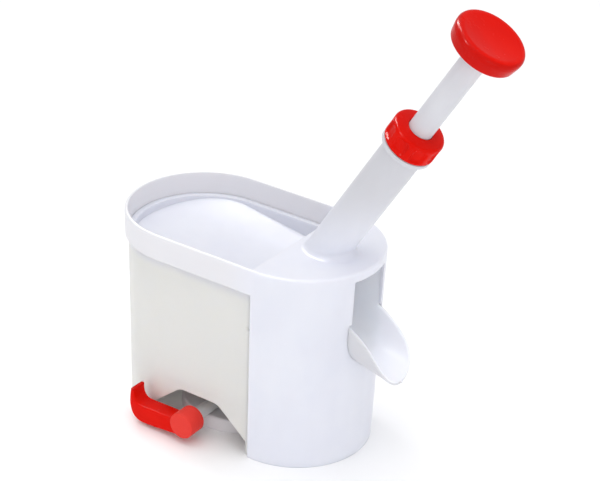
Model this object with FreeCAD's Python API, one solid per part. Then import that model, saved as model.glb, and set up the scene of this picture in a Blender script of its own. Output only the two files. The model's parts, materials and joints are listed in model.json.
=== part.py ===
import FreeCAD, Part
import math
import os

# Hand cherry pitter: hopper and leaning plunger on a lift-off top, stone container on a suction foot.
# Millimetres. +Z is up, +X points to the fruit chute, -Y is the side with the suction lever.
# The origin lies on the table, under the middle of the oval body.

V = FreeCAD.Vector

# Body outline: a stadium that grows a little wider towards the rim
HALF_STRAIGHT = 36.2
BASE_RADIUS = 48.8
RIM_RADIUS = 51.2
BODY_HEIGHT = 131.5
WALL = 2.2
DECK_THICKNESS = 2.6
EDGE_RADIUS = 1.6

# Where the white housing meets the stone container
SPLIT_X = 34.4
BAND_BOTTOM_Z = 115.0
PART_GAP = 0.3

# Stone container
CONTAINER_INSET = 2.2
CONTAINER_WALL = 1.8
CONTAINER_TOP_Z = BAND_BOTTOM_Z - 0.1
CONTAINER_FLOOR_Z = 30.0
CONTAINER_FLOOR = 2.0
NOTCH_HALF_WIDTH = 38.0
NOTCH_BOTTOM_Z = 58.0
END_WALL_TOP_Z = 90.0
ARCH_TOP_Z = 27.8
ARCH_LEFT_X = -46.0
ARCH_RIGHT_X = 31.4
ARCH_CORNER = 9.0

# Plunger line: it leans towards +X and passes through this point
LEAN_DEG = 31.2
LINE_X = 44.25
LINE_Z = 115.5

# Barrel, measured along the plunger line
BARREL_RADIUS = 12.6
BARREL_BORE = 10.4
BARREL_LOW = 6.0
BARREL_LIP_BORE = 8.5
BARREL_LIP = 1.5
FLANGE_RADIUS = 16.0
FLANGE_LOW = 112.8
FLANGE_HIGH = 115.3
BARREL_HIGH = 126.0
BARREL_ROOT_FILLET = 4.0

# Nut and bush at the top of the barrel
NUT_RADIUS = 16.2
NUT_LOW = 115.5
NUT_HIGH = 129.5
NUT_CAP = 3.3
NUT_GRIPS = 8
GRIP_RADIUS = 6.0
GRIP_DEPTH = 1.2
BUSH_LOW = 108.0
RUNNING_GAP = 0.06

# Plunger
ROD_RADIUS = 7.5
ROD_BORE = 5.5
ROD_LOW = 80.0
ROD_HIGH = 200.0
COLLAR_LOW = 102.0
KNOB_RADIUS = 21.5
KNOB_LOW = 193.7
KNOB_HIGH = 204.7
KNOB_DISH = 1.0
SPIKE_RADIUS = 2.0
SPIKE_TIP = 6.4
SPIKE_TOP = 98.0
HOLDER_HIGH = 100.0
PIN_RADIUS = 0.8

# Return spring round the rod
WIRE_RADIUS = 0.6
SPRING_RADIUS = 9.0
SPRING_LOW = 11.2
SPRING_TURNS = 14

# Hopper floor: a shallow valley that falls towards the pocket
VALLEY_RADIUS = 120.0
FLOOR_THICKNESS = 2.0
FLOOR_SLOPE = 0.15
FLOOR_EDGE_Z = 107.5
FLOOR_EDGE_Y = 47.0
TRAY_FIT = 0.15
TRAY_LOWER_INSET = 4.5
TRAY_WALL = 1.6
TRAY_FLANGE_TOP_Z = 117.2
TRAY_SCREW_Y = 28.0

# Cherry pocket, measured along the plunger line
POCKET_BORE = 13.4
POCKET_WALL = 2.0
POCKET_LOW = -46.0
SEAT_LOW = -44.0
SEAT_THICKNESS = 2.0
SEAT_HOLE = 4.5
RIDGE_Z = 84.0
POCKET_PLATE_X = 36.8
POCKET_SCREW_Y = 20.5
POCKET_SCREW_Z = 70.0

# Fruit chute: a trough that runs down and out through the end wall
CHUTE_SLOPE_DEG = 16.0
CHUTE_RADIUS = 18.0
CHUTE_WALL = 2.0
CHUTE_AXIS_X = 84.0
CHUTE_AXIS_Z = 86.0
CHUTE_START_X = 44.3
# The rim is one arc, seen from the side: at the wall, half way out, and at the tip
CHUTE_RIM_WALL = (82.2, 96.0)
CHUTE_RIM_MIDDLE = (100.0, 82.3)
CHUTE_RIM_TIP = (112.4, 59.5)
# Outline of the swelling where the chute leaves the wall, as (degrees round the trough, y, z)
CHUTE_ROOT_TOP = (19.6, 101.0)
CHUTE_ROOT = [(0, 19.0, 87.0), (27, 15.8, 78.5), (61, 9.6, 70.0), (79, 4.6, 63.0), (90, 0.0, 60.8)]
CHUTE_ROOT_LENGTH = 15.0
PASSAGE_START_X = 58.0
PASSAGE_TOP_Z = 125.0
OUTLET_HALF_WIDTH = 16.2
OUTLET_TOP_Z = 126.0

# Suction foot, round, under the container
SHAFT_X = -6.5
SHAFT_Z = 13.2
SHAFT_RADIUS = 4.0
FOOT_RADIUS = 37.5
FOOT_TOP_Z = 9.0
FOOT_PLATE = 2.0
CUP_RADIUS = 34.0
CUP_RIM_Z = 0.4
CUP_CENTRE_Z = 3.6
CUP_THICKNESS = 1.6
STEM_FOOT_RADIUS = 11.0
CAM_RADIUS = 6.2
CAM_THROW = 1.8
CAM_START_DEG = 45.0
FOOT_SCREW_RING = 31.0

# Suction lever, in front of the container
LEVER_FRONT_Y = -63.0
LEVER_BACK_Y = -50.0
HUB_RADIUS = 8.6
TAB_X = -47.6
TAB_TOP_Z = 24.0

# Screws
SCREW_RADIUS = 1.4
HEAD_RADIUS = 2.8
HEAD_HEIGHT = 1.7


def box(x0, x1, y0, y1, z0, z1):
    """Block between two corners, given as low and high along each axis."""
    return Part.makeBox(x1 - x0, y1 - y0, z1 - z0, V(x0, y0, z0))


def rod(radius, start, end):
    """Cylinder from one point to another."""
    axis = end - start
    return Part.makeCylinder(radius, axis.Length, start, axis)


def stadium(inset, z0, z1):
    """Drafted oval body between two heights, smaller all round by inset."""
    grow = (RIM_RADIUS - BASE_RADIUS) / BODY_HEIGHT
    r0 = BASE_RADIUS + grow * z0 - inset
    r1 = BASE_RADIUS + grow * z1 - inset
    height = z1 - z0
    left = Part.makeCone(r0, r1, height, V(-HALF_STRAIGHT, 0, z0), V(0, 0, 1))
    right = Part.makeCone(r0, r1, height, V(HALF_STRAIGHT, 0, z0), V(0, 0, 1))
    corners = [(-r0, z0), (r0, z0), (r1, z1), (-r1, z1), (-r0, z0)]
    section = Part.makePolygon([V(-HALF_STRAIGHT, y, z) for y, z in corners])
    middle = Part.Face(section).extrude(V(2 * HALF_STRAIGHT, 0, 0))
    return middle.fuse([left, right]).removeSplitter()


def along(s):
    """Point at a distance s up the plunger line."""
    lean = math.radians(LEAN_DEG)
    return V(LINE_X + s * math.sin(lean), 0, LINE_Z + s * math.cos(lean))


def on_line(radius, low, high):
    """Cylinder on the plunger line."""
    return rod(radius, along(low), along(high))


def lean(shape):
    """Moves a shape drawn upright at the origin onto the plunger line."""
    turned = shape.copy()
    turned.Placement = FreeCAD.Placement(V(LINE_X, 0, LINE_Z), FreeCAD.Rotation(V(0, 1, 0), LEAN_DEG))
    return turned


def turned_profile(points):
    """Solid of revolution about the plunger line, from (radius, distance) points."""
    wire = Part.makePolygon([V(r, 0, s) for r, s in points + points[:1]])
    return lean(Part.Face(wire).revolve(V(0, 0, 0), V(0, 0, 1), 360))


def circles_at(shape, radius, low, high):
    """Round edges of a given radius whose centre lies between two distances on the plunger line."""
    found = []
    for edge in shape.Edges:
        if not isinstance(edge.Curve, Part.Circle):
            continue
        if abs(edge.Curve.Radius - radius) > 0.01:
            continue
        s = (edge.Curve.Center - along(0)).dot(along(1) - along(0))
        if low <= s <= high:
            found.append(edge)
    return found


def screw(tip, seat):
    """Pan head screw: the shank runs from tip to seat, the head stands beyond the seat."""
    direction = (seat - tip).normalize()
    shank = rod(SCREW_RADIUS, tip, seat)
    head = rod(HEAD_RADIUS, seat, seat + direction * HEAD_HEIGHT)
    rounded = head.makeFillet(0.6, [head.Edges[0]])
    return shank.fuse(rounded)


def valley(radius):
    """Long cylinder whose lower side is the hopper floor."""
    edge_drop = (VALLEY_RADIUS + FLOOR_THICKNESS) - math.sqrt(
        (VALLEY_RADIUS + FLOOR_THICKNESS) ** 2 - FLOOR_EDGE_Y ** 2)
    tilt = math.atan(FLOOR_SLOPE)
    bottom_z = FLOOR_EDGE_Z - edge_drop
    axis_z = bottom_z + (VALLEY_RADIUS + FLOOR_THICKNESS) / math.cos(tilt)
    reach = 150.0
    start = V(-reach, 0, axis_z + reach * math.tan(tilt))
    end = V(reach, 0, axis_z - reach * math.tan(tilt))
    return rod(radius, start, end)


def chute_trough(radius, x0, x1):
    """Sloping trough: a cylinder with its upper half opened into upright sides."""
    slope = math.tan(math.radians(CHUTE_SLOPE_DEG))
    start = V(x0, 0, CHUTE_AXIS_Z + (CHUTE_AXIS_X - x0) * slope)
    end = V(x1, 0, CHUTE_AXIS_Z + (CHUTE_AXIS_X - x1) * slope)
    top = 60.0
    side = [V(x0, -radius, start.z), V(x1, -radius, end.z), V(x1, -radius, end.z + top)]
    side += [V(x0, -radius, start.z + top), V(x0, -radius, start.z)]
    upright = Part.Face(Part.makePolygon(side)).extrude(V(0, 2 * radius, 0))
    return rod(radius, start, end).fuse(upright)


def chute_axis_z(x):
    """Height of the middle of the trough at a distance from the origin."""
    return CHUTE_AXIS_Z + (CHUTE_AXIS_X - x) * math.tan(math.radians(CHUTE_SLOPE_DEG))


def below_rim():
    """Space under the arc of the chute's rim, and inside the housing under a level line."""
    start = V(CHUTE_RIM_WALL[0], 0, CHUTE_RIM_WALL[1])
    middle = V(CHUTE_RIM_MIDDLE[0], 0, CHUTE_RIM_MIDDLE[1])
    tip = V(CHUTE_RIM_TIP[0], 0, CHUTE_RIM_TIP[1])
    back = CHUTE_START_X
    corners = [tip, V(tip.x, 0, 0), V(back, 0, 0), V(back, 0, start.z + 10), V(start.x - 14, 0, start.z + 10), start]
    edges = [Part.makeLine(p, q) for p, q in zip(corners, corners[1:])]
    edges.append(Part.Arc(start, middle, tip).toShape())
    side = Part.Face(Part.Wire(edges))
    return side.extrude(V(0, 60, 0)).translated(V(0, -30, 0))


def chute_root():
    """Outside of the chute beyond the wall: a loft from the swelling on the wall to the plain trough."""
    wires = []
    for x in (81.0, 84.0, 88.0, 93.0, 99.0, 107.0, 118.0):
        rest = max(0.0, 1.0 - (x - CHUTE_RIM_WALL[0]) / CHUTE_ROOT_LENGTH)
        share = rest ** 2
        axis_z = chute_axis_z(x)
        y, z = CHUTE_ROOT_TOP
        half = [(CHUTE_RADIUS + share * (y - CHUTE_RADIUS), max(axis_z + 14.0, z))]
        for degrees, y, z in CHUTE_ROOT:
            turn = math.radians(degrees)
            plain_y = CHUTE_RADIUS * math.cos(turn)
            plain_z = axis_z - CHUTE_RADIUS * math.sin(turn)
            half.append((plain_y + share * (y - plain_y), plain_z + share * (z - plain_z)))
        outline = half + [(-y, z) for y, z in half[-2::-1]]
        curve = Part.BSplineCurve()
        curve.interpolate([V(x, y, z) for y, z in outline])
        ends = [V(x, y, z) for y, z in (outline[-1], outline[0])]
        wires.append(Part.Wire([curve.toShape(), Part.makeLine(*ends)]))
    return Part.makeLoft(wires, True, False)


def make_main_housing():
    """White moulding: right wall, rim band, deck, divider and the barrel for the plunger."""
    body = stadium(0, 0, BODY_HEIGHT)
    rim_edges = [e for e in body.Edges if abs(e.BoundBox.ZMin - BODY_HEIGHT) < 0.01]
    body = body.makeFillet(EDGE_RADIUS, rim_edges)
    right = body.common(box(SPLIT_X, 120, -70, 70, -1, 200))
    chamber = stadium(WALL, -1, BODY_HEIGHT - DECK_THICKNESS)
    right = right.cut(chamber.common(box(SPLIT_X + WALL, 120, -70, 70, -2, 200)))
    band = body.cut(stadium(WALL, -1, BODY_HEIGHT + 1))
    band = band.common(box(-120, SPLIT_X + 0.5, -70, 70, BAND_BOTTOM_Z, 200))
    housing = right.fuse(band)
    housing = housing.fuse(on_line(BARREL_RADIUS, BARREL_LOW, BARREL_HIGH))
    housing = housing.makeFillet(BARREL_ROOT_FILLET, barrel_foot_edges(housing))
    housing = housing.fuse(on_line(FLANGE_RADIUS, FLANGE_LOW, FLANGE_HIGH)).removeSplitter()
    housing = housing.cut(on_line(BARREL_BORE, BARREL_LOW + BARREL_LIP, BARREL_HIGH + 1))
    housing = housing.cut(on_line(BARREL_LIP_BORE, BARREL_LOW - 1, BARREL_LOW + 3))
    doorway = OUTLET_HALF_WIDTH + 0.3
    housing = housing.cut(box(SPLIT_X - 1, SPLIT_X + WALL + 0.01, -doorway, doorway, 60, 124))
    slot = chute_trough(CHUTE_RADIUS + 0.3, 70, 100).common(box(60, 120, -70, 70, 0, CHUTE_RIM_WALL[1] + 1.2))
    mouth = box(60, 120, -OUTLET_HALF_WIDTH, OUTLET_HALF_WIDTH, CHUTE_AXIS_Z, OUTLET_TOP_Z)
    housing = housing.cut(slot.fuse(mouth))
    for side in (-1, 1):
        y = side * POCKET_SCREW_Y
        hole = rod(SCREW_RADIUS + 0.02, V(SPLIT_X - 1, y, POCKET_SCREW_Z), V(SPLIT_X + 3, y, POCKET_SCREW_Z))
        housing = housing.cut(hole)
        start, end = tray_screw_line(side)
        housing = housing.cut(rod(SCREW_RADIUS + 0.02, start, end + V(2, 0, 0)))
    for x, y in base_screw_points():
        post = rod(4.0, V(x, y, 8.0), V(x, y, 26.0))
        housing = housing.fuse(post.common(stadium(WALL - 0.5, 0, 40)))
        housing = housing.cut(rod(SCREW_RADIUS + 0.02, V(x, y, 7.0), V(x, y, 20.0)))
    return housing


def barrel_foot_edges(shape):
    """Edges where the barrel comes out of the deck."""
    found = []
    for edge in shape.Edges:
        middle = edge.CenterOfMass
        level = abs(edge.BoundBox.ZMin - BODY_HEIGHT) < 0.01 and edge.BoundBox.ZLength < 0.01
        if level and abs(middle.y) < 1.0 and isinstance(edge.Curve, Part.Ellipse):
            found.append(edge)
    return found


def tray_screw_line(side):
    """Start and seat of the screw that holds one side of the hopper floor to the divider."""
    z = 95.5
    y = side * TRAY_SCREW_Y
    return V(SPLIT_X - 8, y, z), V(SPLIT_X + WALL, y, z)


def base_screw_points():
    """Places of the screws under the closing plate of the housing."""
    return [(54.4, -39.0), (54.4, 39.0)]


def make_hopper_tray():
    """Hopper floor: a valley plate with a stepped edge, dropped into the rim band from below."""
    left_of_divider = box(-120, SPLIT_X - 0.15, -70, 70, 0, 200)
    upper = stadium(WALL + TRAY_FIT, BAND_BOTTOM_Z + 0.2, BODY_HEIGHT)
    lower = stadium(TRAY_LOWER_INSET, 60, BAND_BOTTOM_Z + 0.3)
    region = upper.fuse(lower).common(left_of_divider)
    outer_valley = valley(VALLEY_RADIUS + FLOOR_THICKNESS)
    plate = region.common(outer_valley).cut(valley(VALLEY_RADIUS))
    inner = stadium(TRAY_LOWER_INSET + TRAY_WALL, 50, 140)
    side = region.cut(inner).common(box(-120, 120, -70, 70, 60, TRAY_FLANGE_TOP_Z))
    tray = plate.fuse(side.common(outer_valley))
    for hand in (-1, 1):
        start, end = tray_screw_line(hand)
        boss = rod(3.6, start - V(2, 0, 0), V(SPLIT_X - 0.15, start.y, start.z))
        tray = tray.fuse(boss.cut(valley(VALLEY_RADIUS)))
        tray = tray.cut(rod(SCREW_RADIUS + 0.02, start - V(0.5, 0, 0), end))
    tray = tray.cut(on_line(POCKET_BORE + POCKET_WALL + 0.2, -70, 10))
    solids = sorted(tray.Solids, key=lambda s: s.Volume)
    return solids[-1]


def make_pocket_cup():
    """Tube that holds one cherry in line with the spike, with a plate that screws to the divider."""
    wall_radius = POCKET_BORE + POCKET_WALL
    cup = on_line(wall_radius, POCKET_LOW, 5)
    cup = cup.cut(valley(VALLEY_RADIUS))
    cup = cup.cut(box(SPLIT_X - 0.1, 90, -30, 30, RIDGE_Z, 160))
    cup = cup.common(box(-20, 90, -30, 30, 0, 108))
    plate = box(POCKET_PLATE_X, POCKET_PLATE_X + 2, -25, 25, 61, RIDGE_Z - 6)
    cup = cup.fuse(plate)
    cup = cup.cut(on_line(POCKET_BORE, SEAT_LOW, 20))
    cup = cup.cut(on_line(POCKET_BORE - 3.4, POCKET_LOW - 1, SEAT_LOW + 1))
    for side in (-1, 1):
        y = side * POCKET_SCREW_Y
        cup = cup.cut(rod(SCREW_RADIUS + 0.02, V(30, y, POCKET_SCREW_Z), V(42, y, POCKET_SCREW_Z)))
    solids = sorted(cup.Solids, key=lambda s: s.Volume)
    return solids[-1]


def make_cherry_seat():
    """Soft disc with a star slit: the stone is pushed through, the fruit stays above."""
    seat = on_line(POCKET_BORE - 0.1, SEAT_LOW, SEAT_LOW + SEAT_THICKNESS)
    seat = seat.cut(on_line(SEAT_HOLE, SEAT_LOW - 1, SEAT_LOW + SEAT_THICKNESS + 1))
    for k in range(6):
        slit = box(0, 8.5, -0.3, 0.3, SEAT_LOW - 1, SEAT_LOW + SEAT_THICKNESS + 1)
        slit.rotate(V(0, 0, 0), V(0, 0, 1), 60.0 * k)
        seat = seat.cut(lean(slit))
    return seat


def make_seat_ring():
    """Ring that clamps the soft seat, with a sloping mouth that centres the cherry."""
    low = SEAT_LOW + SEAT_THICKNESS
    outer = POCKET_BORE - 0.1
    return turned_profile([(9.6, low), (outer, low), (outer, low + 3.0), (12.2, low + 3.0)])


def make_outlet_chute():
    """Trough that carries the fruit out: high sides in the housing, a swelling on the wall, a rounded tip."""
    trough = chute_trough(CHUTE_RADIUS, CHUTE_START_X - 8, CHUTE_RIM_WALL[0] + 8)
    root = chute_root().cut(stadium(-0.1, 30, BODY_HEIGHT))
    chute = trough.common(below_rim()).fuse(root.common(below_rim()))
    inside = stadium(WALL + 0.3, 20, PASSAGE_TOP_Z).common(box(PASSAGE_START_X, 120, -70, 70, 20, PASSAGE_TOP_Z))
    chute = chute.fuse(trough.common(inside))
    chute = chute.cut(chute_trough(CHUTE_RADIUS - CHUTE_WALL, CHUTE_START_X - 12, 130))
    solids = sorted(chute.Solids, key=lambda s: s.Volume)
    return solids[-1]


def make_stripper_ring():
    """Disc at the bottom of the barrel that wipes the fruit off the spike."""
    low = BARREL_LOW + BARREL_LIP
    disc = on_line(BARREL_BORE - 0.1, low, low + 2.5)
    return disc.cut(on_line(SPIKE_RADIUS + 0.3, low - 1, low + 4))


def make_spring_washer():
    """Steel washer under the spring."""
    low = BARREL_LOW + BARREL_LIP + 2.55
    disc = on_line(BARREL_BORE - 0.15, low, low + 0.8)
    return disc.cut(on_line(ROD_RADIUS - 2.5, low - 1, low + 2))


def make_return_spring():
    """Compression spring round the rod, one unbroken wire of quarter-turn arcs."""
    low = SPRING_LOW + WIRE_RADIUS
    high = COLLAR_LOW - WIRE_RADIUS - 0.2
    pitch = (high - low) / SPRING_TURNS

    def point(turn):
        angle = 2 * math.pi * turn
        return V(SPRING_RADIUS * math.cos(angle), SPRING_RADIUS * math.sin(angle), low + pitch * turn)

    quarters = [k / 4.0 for k in range(4 * SPRING_TURNS)]
    path = Part.Wire([Part.Arc(point(q), point(q + 0.125), point(q + 0.25)).toShape() for q in quarters])
    heading = V(0, 2 * math.pi * SPRING_RADIUS, pitch)
    circle = Part.Wire(Part.makeCircle(WIRE_RADIUS, point(0), heading))
    coil = path.makePipeShell([circle], True, False)
    length = SPRING_TURNS * math.hypot(2 * math.pi * SPRING_RADIUS, pitch)
    exact = math.pi * WIRE_RADIUS ** 2 * length
    print("spring wire length", round(length, 1), "volume", round(coil.Volume, 1), "of", round(exact, 1))
    print("gap between turns", round(pitch - 2 * WIRE_RADIUS, 2))
    return lean(coil)


def make_guide_bush():
    """Plastic bush that guides the rod at the top of the barrel."""
    bush = on_line(BARREL_BORE - 0.1, BUSH_LOW, BARREL_HIGH)
    return bush.cut(on_line(ROD_RADIUS + RUNNING_GAP, BUSH_LOW - 1, BARREL_HIGH + 1))


def make_barrel_nut():
    """Red cap nut with eight finger grips, screwed on the barrel to keep the bush and rod in."""
    nut = on_line(NUT_RADIUS, NUT_LOW, NUT_HIGH)
    nut = nut.makeFillet(2.4, circles_at(nut, NUT_RADIUS, NUT_HIGH - 0.1, NUT_HIGH + 0.1))
    nut = nut.makeFillet(0.8, circles_at(nut, NUT_RADIUS, NUT_LOW - 0.1, NUT_LOW + 0.1))
    nut = nut.cut(on_line(BARREL_RADIUS + 0.15, NUT_LOW - 1, NUT_HIGH - NUT_CAP))
    nut = nut.cut(on_line(ROD_RADIUS + 0.7, NUT_LOW, NUT_HIGH + 1))
    reach = NUT_RADIUS + GRIP_RADIUS - GRIP_DEPTH
    for k in range(NUT_GRIPS):
        turn = math.radians(360.0 / NUT_GRIPS * k)
        x = reach * math.cos(turn)
        y = reach * math.sin(turn)
        grip = Part.makeCylinder(GRIP_RADIUS, 5.5, V(x, y, NUT_LOW + 3.6))
        for s in (NUT_LOW + 3.6, NUT_LOW + 9.1):
            grip = grip.fuse(Part.makeSphere(GRIP_RADIUS, V(x, y, s)))
        nut = nut.cut(lean(grip))
    return nut


def make_plunger_rod():
    """White rod, hollow from below, with a collar that stops it under the bush."""
    shape = on_line(ROD_RADIUS, ROD_LOW, ROD_HIGH)
    collar = on_line(BARREL_BORE - RUNNING_GAP, COLLAR_LOW, BUSH_LOW - 0.3)
    shape = shape.fuse(collar)
    shape = shape.cut(on_line(ROD_BORE, ROD_LOW - 1, ROD_HIGH - 12))
    return shape.cut(spike_pin_shape(PIN_RADIUS + 0.02, 20))


def spike_pin_shape(radius, length):
    """Cross pin near the lower end of the rod."""
    centre = along(HOLDER_HIGH - 10)
    return rod(radius, centre - V(0, length / 2, 0), centre + V(0, length / 2, 0))


def make_plunger_knob():
    """Red palm knob with a rounded edge, a dished top and a hollow underside."""
    edge = KNOB_RADIUS
    knob = turned_profile([(0, KNOB_LOW), (edge - 1.2, KNOB_LOW), (edge, KNOB_HIGH - 4), (edge, KNOB_HIGH),
                           (0, KNOB_HIGH)])
    knob = knob.makeFillet(3.2, circles_at(knob, edge, KNOB_HIGH - 0.1, KNOB_HIGH + 0.1))
    knob = knob.makeFillet(1.6, circles_at(knob, edge - 1.2, KNOB_LOW - 0.1, KNOB_LOW + 0.1))
    dish_edge = edge - 4.5
    ball = (dish_edge ** 2 + KNOB_DISH ** 2) / (2 * KNOB_DISH)
    knob = knob.cut(Part.makeSphere(ball, along(KNOB_HIGH + ball - KNOB_DISH)))
    knob = knob.cut(on_line(ROD_RADIUS + 0.02, KNOB_LOW - 1, ROD_HIGH + 0.1))
    recess = on_line(edge - 3.4, KNOB_LOW - 1, KNOB_LOW + 6).cut(on_line(ROD_RADIUS + 2.2, KNOB_LOW - 2, KNOB_LOW + 7))
    return knob.cut(recess)


def make_spike_holder():
    """Plug in the lower end of the rod that grips the spike."""
    plug = on_line(ROD_BORE - 0.03, ROD_LOW, HOLDER_HIGH)
    plug = plug.cut(on_line(SPIKE_RADIUS + 0.02, ROD_LOW - 1, SPIKE_TOP))
    return plug.cut(spike_pin_shape(PIN_RADIUS + 0.02, 20))


def make_pitting_spike():
    """Steel spike with a cross cut in its tip that pushes the stone."""
    spike = on_line(SPIKE_RADIUS, SPIKE_TIP, SPIKE_TOP)
    spike = spike.makeChamfer(0.7, circles_at(spike, SPIKE_RADIUS, SPIKE_TIP - 0.1, SPIKE_TIP + 0.1))
    for k in range(2):
        slot = box(-4, 4, -0.35, 0.35, SPIKE_TIP - 1, SPIKE_TIP + 2.2)
        slot.rotate(V(0, 0, 0), V(0, 0, 1), 90.0 * k)
        spike = spike.cut(lean(slot))
    return spike.cut(spike_pin_shape(PIN_RADIUS + 0.02, 20))


def make_housing_base():
    """Plate that closes the housing from below."""
    inside = stadium(WALL + 0.3, 3.0, 5.5)
    plate = inside.common(box(SPLIT_X + WALL + 0.3, 120, -70, 70, 0, 20))
    for x, y in base_screw_points():
        post = rod(4.0, V(x, y, 5.4), V(x, y, 7.9))
        plate = plate.fuse(post.common(stadium(WALL + 0.3, 3.0, 9.0)))
        plate = plate.cut(rod(SCREW_RADIUS + 0.1, V(x, y, 0), V(x, y, 9)))
    return plate


def make_base_screws():
    """Screws that hold the closing plate."""
    return [screw(V(x, y, 16.0), V(x, y, 3.0)) for x, y in base_screw_points()]


def make_rubber_feet():
    """Round rubber feet under the closing plate."""
    feet = []
    for x, y in [(60.0, -24.0), (60.0, 24.0), (74.0, 0.0)]:
        foot = Part.makeCone(4.6, 5.4, 2.95, V(x, y, 0), V(0, 0, 1))
        feet.append(foot)
    return feet


def make_stone_container():
    """Frosted bin for the stones, with an arched skirt over the suction foot."""
    left_of_split = box(-120, SPLIT_X - PART_GAP, -70, 70, -5, 200)
    outer = stadium(CONTAINER_INSET, 0, CONTAINER_TOP_Z).common(left_of_split)
    inner_x = SPLIT_X - PART_GAP - CONTAINER_WALL
    left_of_wall = box(-120, inner_x, -70, 70, -5, 200)
    inner = stadium(CONTAINER_INSET + CONTAINER_WALL, -2, CONTAINER_TOP_Z + 2).common(left_of_wall)
    floor_top = CONTAINER_FLOOR_Z + CONTAINER_FLOOR
    shell = outer.cut(inner.common(box(-120, 120, -70, 70, floor_top, 200)))
    shell = shell.cut(inner.common(box(-120, 120, -70, 70, -5, CONTAINER_FLOOR_Z)))
    notch = box(inner_x - 1, SPLIT_X, -NOTCH_HALF_WIDTH, NOTCH_HALF_WIDTH, NOTCH_BOTTOM_Z, 200)
    notch_edges = [e for e in notch.Edges if abs(e.BoundBox.ZMax - NOTCH_BOTTOM_Z) < 0.01 and e.BoundBox.XLength > 1]
    shell = shell.cut(notch.makeFillet(8.0, notch_edges))
    lowered = inner.translated(V(3.0, 0, 0)).common(box(inner_x - 1, SPLIT_X, -70, 70, END_WALL_TOP_Z, 200))
    shell = shell.cut(lowered)
    points = [(ARCH_LEFT_X, -3), (ARCH_LEFT_X, 5.5), (-19.5, ARCH_TOP_Z), (9.5, ARCH_TOP_Z), (ARCH_RIGHT_X, 9.3)]
    points += [(ARCH_RIGHT_X, -3), (ARCH_LEFT_X, -3)]
    arch = Part.Face(Part.makePolygon([V(x, -60, z) for x, z in points])).extrude(V(0, 24, 0))
    upper = [e for e in arch.Edges if e.BoundBox.YLength > 20 and e.BoundBox.ZMin > ARCH_TOP_Z - 0.1]
    shell = shell.cut(arch.makeFillet(ARCH_CORNER, upper))
    for x, y in foot_screw_points():
        boss = rod(4.0, V(x, y, FOOT_TOP_Z + 0.05), V(x, y, CONTAINER_FLOOR_Z + 0.5))
        shell = shell.fuse(boss).cut(rod(SCREW_RADIUS + 0.02, V(x, y, 0), V(x, y, FOOT_TOP_Z + 11)))
    nub = Part.makeSphere(1.5, V(31.6, -47.6, 90.0)).cut(stadium(CONTAINER_INSET + 1.0, 60, 110))
    return shell.fuse(nub).removeSplitter()


def foot_screw_points():
    """Places of the four screws between the foot and the container."""
    points = []
    for turn in (40, 140, 220, 320):
        a = math.radians(turn)
        points.append((SHAFT_X + FOOT_SCREW_RING * math.cos(a), FOOT_SCREW_RING * math.sin(a)))
    return points


def make_foot_plate():
    """Round white cap over the rubber cup, with two cheeks that carry the cam shaft."""
    cap = Part.makeCylinder(FOOT_RADIUS, FOOT_TOP_Z, V(SHAFT_X, 0, 0))
    cap = cap.makeFillet(1.5, [e for e in cap.Edges if e.BoundBox.ZMin > FOOT_TOP_Z - 0.1])
    cap = cap.cut(Part.makeCylinder(FOOT_RADIUS - 2, FOOT_TOP_Z - FOOT_PLATE + 1, V(SHAFT_X, 0, -1)))
    cap = cap.cut(box(SHAFT_X - 9.3, SHAFT_X + 12.1, -5.5, 5.5, 0, 20))
    for y0 in (-18.0, 9.0):
        cheek = box(SHAFT_X - 7, SHAFT_X + 7, y0, y0 + 5, FOOT_TOP_Z - 1, SHAFT_Z)
        cheek = cheek.fuse(rod(7.0, V(SHAFT_X, y0, SHAFT_Z), V(SHAFT_X, y0 + 5, SHAFT_Z)))
        cheek = cheek.common(box(-100, 100, -100, 100, FOOT_TOP_Z - 1, 50))
        cap = cap.fuse(cheek)
    cap = cap.cut(rod(SHAFT_RADIUS + RUNNING_GAP, V(SHAFT_X, -30, SHAFT_Z), V(SHAFT_X, 20, SHAFT_Z)))
    for x, y in foot_screw_points():
        cap = cap.cut(rod(SCREW_RADIUS + 0.1, V(x, y, 0), V(x, y, 20)))
    return cap


def make_foot_screws():
    """Screws that hold the foot to the container."""
    return [screw(V(x, y, 17.0), V(x, y, FOOT_TOP_Z - FOOT_PLATE)) for x, y in foot_screw_points()]


def make_suction_cup():
    """Soft rubber cup: a flat lip on the table and a thin cone up to the stem."""
    low = CUP_CENTRE_Z
    points = [(0, low), (12, low), (CUP_RADIUS - 5, CUP_RIM_Z), (CUP_RADIUS, CUP_RIM_Z)]
    points += [(CUP_RADIUS, CUP_RIM_Z + 1.4), (CUP_RADIUS - 4, CUP_RIM_Z + 1.9)]
    points += [(12.5, low + CUP_THICKNESS), (0, low + CUP_THICKNESS)]
    wire = Part.makePolygon([V(SHAFT_X + r, 0, z) for r, z in points + points[:1]])
    return Part.Face(wire).revolve(V(SHAFT_X, 0, 0), V(0, 0, 1), 360)


def cam_centre():
    """Centre of the eccentric, as it lies at rest."""
    turn = math.radians(CAM_START_DEG)
    return SHAFT_X + CAM_THROW * math.sin(turn), SHAFT_Z + CAM_THROW * math.cos(turn)


def make_cup_stem():
    """Stem on the cup: a disc and a block with a window that the eccentric lifts."""
    x, z = cam_centre()
    disc_low = CUP_CENTRE_Z + CUP_THICKNESS + 0.02
    stem = Part.makeCylinder(STEM_FOOT_RADIUS, 1.4, V(SHAFT_X, 0, disc_low))
    block = box(SHAFT_X - 8.7, SHAFT_X + 11.5, -4, 4, disc_low + 0.5, z + CAM_RADIUS + 3.0)
    block = block.makeFillet(2.0, [e for e in block.Edges if e.BoundBox.YLength > 7 and e.BoundBox.ZMin > 15])
    window = box(SHAFT_X - 5.6, SHAFT_X + 8.6, -6, 6, z - CAM_RADIUS - 0.15, z + CAM_RADIUS + 0.15)
    return stem.fuse(block).cut(window)


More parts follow.
